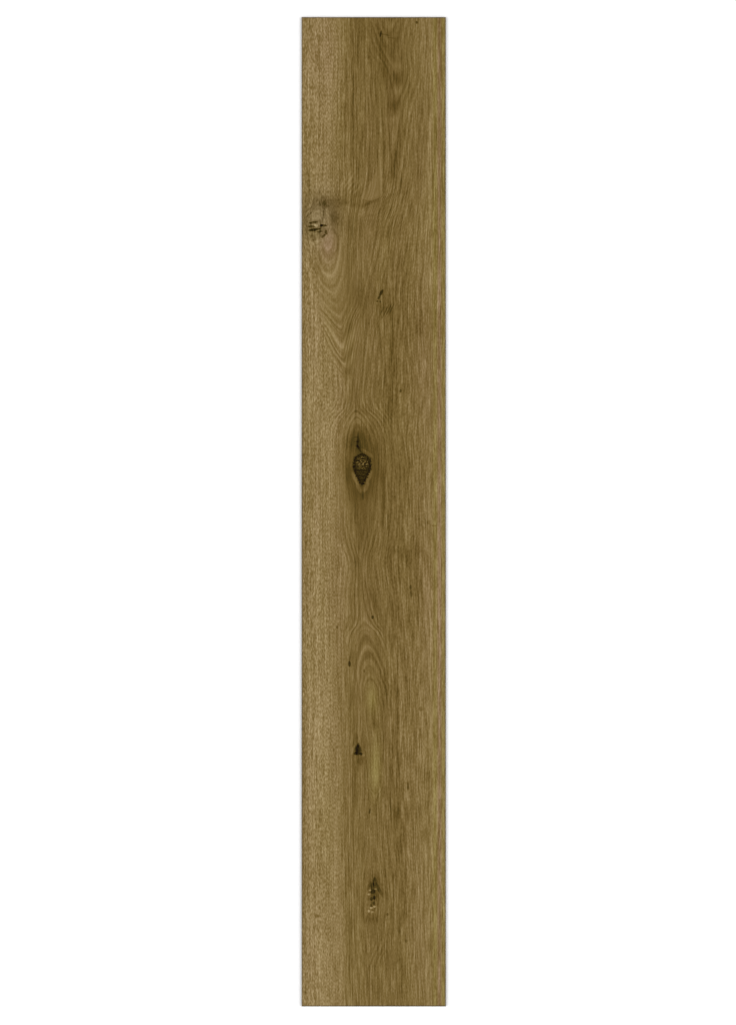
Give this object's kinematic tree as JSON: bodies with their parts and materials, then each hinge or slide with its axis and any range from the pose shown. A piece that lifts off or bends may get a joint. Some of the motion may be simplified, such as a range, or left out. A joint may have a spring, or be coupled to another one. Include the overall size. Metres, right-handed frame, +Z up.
{
  "type": "vinyl floor plank",
  "caption": "Rectangular glue-down vinyl floor plank with an embossed oak-print face, micro-bevelled top edges and a flat back that bonds to the subfloor.",
  "frame": {"origin": "middle of the back, which lies on the floor", "axes": "+Y along the length, +X across the width, +Z up out of the printed face"},
  "size_m": [0.1778, 1.2192, 0.003],
  "materials": {
    "printed_vinyl": "matt embossed vinyl with a knotty olive-brown oak print"
  },
  "bodies": {
    "root": {"plank": "printed_vinyl"}
  },
  "joints": []
}
